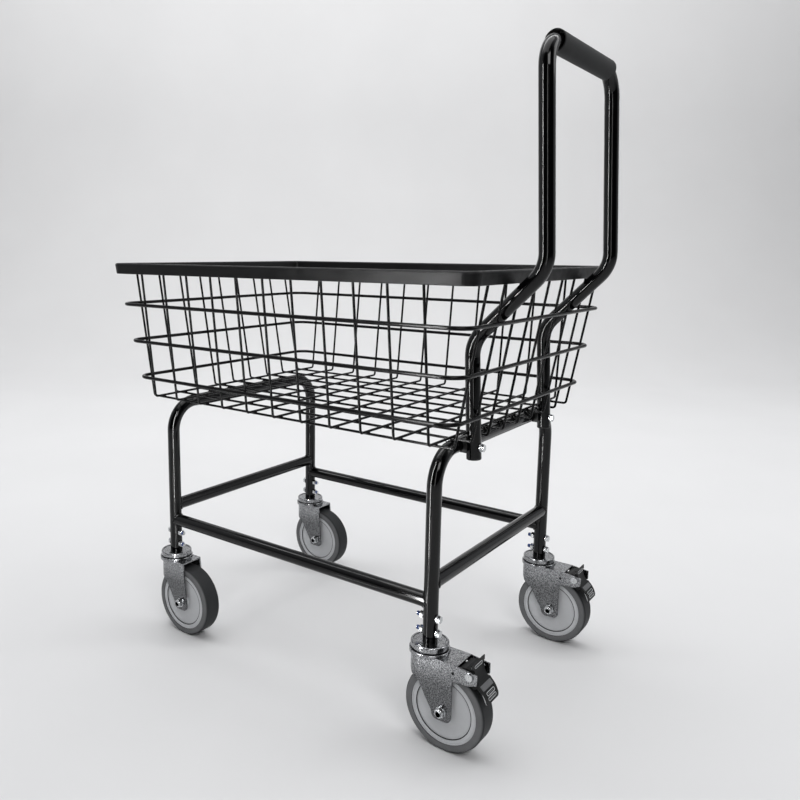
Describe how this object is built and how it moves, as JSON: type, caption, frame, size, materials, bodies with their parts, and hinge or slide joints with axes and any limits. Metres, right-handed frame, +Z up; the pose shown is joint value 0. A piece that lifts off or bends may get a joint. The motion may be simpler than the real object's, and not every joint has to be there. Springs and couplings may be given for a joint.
{
  "type": "laundry cart",
  "caption": "Wire laundry cart: tapered open-top basket on a tube base with swivel casters and a tall push handle with a foam grip.",
  "frame": {"origin": "on the floor, under the middle of the cart's overall length and width", "axes": "+X along the cart towards the push handle, +Y across it, +Z up"},
  "size_m": [0.769, 0.518, 0.999],
  "materials": {
    "frame_paint": "glossy black powder coat",
    "basket_wire": "satin black coated wire",
    "rim_trim": "ribbed black vinyl",
    "grip_foam": "matt dark grey foam",
    "black_plastic": "moulded black plastic",
    "bolt_steel": "bright zinc plate",
    "caster_zinc": "bright zinc plated pressed steel",
    "race_steel": "dark hardened steel",
    "hub_plastic": "pale grey moulded plastic",
    "tyre_rubber": "grey non-marking rubber",
    "pedal_plastic": "black plastic with a grey band"
  },
  "bodies": {
    "cart": {"end_frame_front": "frame_paint", "end_frame_rear": "frame_paint", "side_rail_left": "frame_paint", "side_rail_right": "frame_paint", "cross_rail_front": "frame_paint", "cross_rail_rear": "frame_paint", "side_hoops": "basket_wire", "end_hoops": "basket_wire", "ring_bottom": "basket_wire", "ring_middle": "basket_wire", "ring_top": "basket_wire", "rim_wire": "basket_wire", "rim_trim": "rim_trim", "handle_tube": "frame_paint", "handle_grip": "grip_foam", "handle_plugs": "black_plastic", "handle_saddles": "black_plastic", "handle_bolts": "bolt_steel", "handle_nuts": "bolt_steel", "stem_bolts": "bolt_steel", "stem_nuts": "bolt_steel", "caster_top_front_left": "caster_zinc", "caster_top_front_right": "caster_zinc", "caster_top_rear_left": "caster_zinc", "caster_top_rear_right": "caster_zinc"},
    "swivel_front_left": {"fork_front_left": "caster_zinc", "ball_race_front_left": "race_steel", "axle_front_left": "bolt_steel", "axle_sleeve_front_left": "bolt_steel"},
    "wheel_front_left": {"hub_front_left": "hub_plastic", "tyre_front_left": "tyre_rubber"},
    "swivel_front_right": {"fork_front_right": "caster_zinc", "ball_race_front_right": "race_steel", "axle_front_right": "bolt_steel", "axle_sleeve_front_right": "bolt_steel"},
    "wheel_front_right": {"hub_front_right": "hub_plastic", "tyre_front_right": "tyre_rubber"},
    "swivel_rear_left": {"fork_rear_left": "caster_zinc", "ball_race_rear_left": "race_steel", "axle_rear_left": "bolt_steel", "axle_sleeve_rear_left": "bolt_steel", "brake_pivot_rear_left": "bolt_steel"},
    "wheel_rear_left": {"hub_rear_left": "hub_plastic", "tyre_rear_left": "tyre_rubber"},
    "pedal_rear_left": {"brake_pedal_rear_left": "pedal_plastic"},
    "swivel_rear_right": {"fork_rear_right": "caster_zinc", "ball_race_rear_right": "race_steel", "axle_rear_right": "bolt_steel", "axle_sleeve_rear_right": "bolt_steel", "brake_pivot_rear_right": "bolt_steel"},
    "wheel_rear_right": {"hub_rear_right": "hub_plastic", "tyre_rear_right": "tyre_rubber"},
    "pedal_rear_right": {"brake_pedal_rear_right": "pedal_plastic"}
  },
  "joints": [
    {"name": "swivel_turn_front_left", "type": "hinge", "parent": "cart", "child": "swivel_front_left", "pos_m": [-0.2932, -0.201, 0.1435], "axis": [0, 0, 1], "continuous": true},
    {"name": "wheel_spin_front_left", "type": "hinge", "parent": "swivel_front_left", "child": "wheel_front_left", "pos_m": [-0.2599, -0.201, 0.0635], "axis": [0, 1, 0], "continuous": true},
    {"name": "swivel_turn_front_right", "type": "hinge", "parent": "cart", "child": "swivel_front_right", "pos_m": [-0.2932, 0.201, 0.1435], "axis": [0, 0, 1], "continuous": true},
    {"name": "wheel_spin_front_right", "type": "hinge", "parent": "swivel_front_right", "child": "wheel_front_right", "pos_m": [-0.2599, 0.201, 0.0635], "axis": [0, 1, 0], "continuous": true},
    {"name": "swivel_turn_rear_left", "type": "hinge", "parent": "cart", "child": "swivel_rear_left", "pos_m": [0.2548, -0.201, 0.1435], "axis": [0, 0, 1], "continuous": true},
    {"name": "wheel_spin_rear_left", "type": "hinge", "parent": "swivel_rear_left", "child": "wheel_rear_left", "pos_m": [0.2881, -0.201, 0.0635], "axis": [0, 1, 0], "continuous": true},
    {"name": "brake_press_rear_left", "type": "hinge", "parent": "swivel_rear_left", "child": "pedal_rear_left", "pos_m": [0.3298, -0.201, 0.131], "axis": [0, 1, 0], "range_deg": [0, 10]},
    {"name": "swivel_turn_rear_right", "type": "hinge", "parent": "cart", "child": "swivel_rear_right", "pos_m": [0.2548, 0.201, 0.1435], "axis": [0, 0, 1], "continuous": true},
    {"name": "wheel_spin_rear_right", "type": "hinge", "parent": "swivel_rear_right", "child": "wheel_rear_right", "pos_m": [0.2881, 0.201, 0.0635], "axis": [0, 1, 0], "continuous": true},
    {"name": "brake_press_rear_right", "type": "hinge", "parent": "swivel_rear_right", "child": "pedal_rear_right", "pos_m": [0.3298, 0.201, 0.131], "axis": [0, 1, 0], "range_deg": [0, 10]}
  ]
}
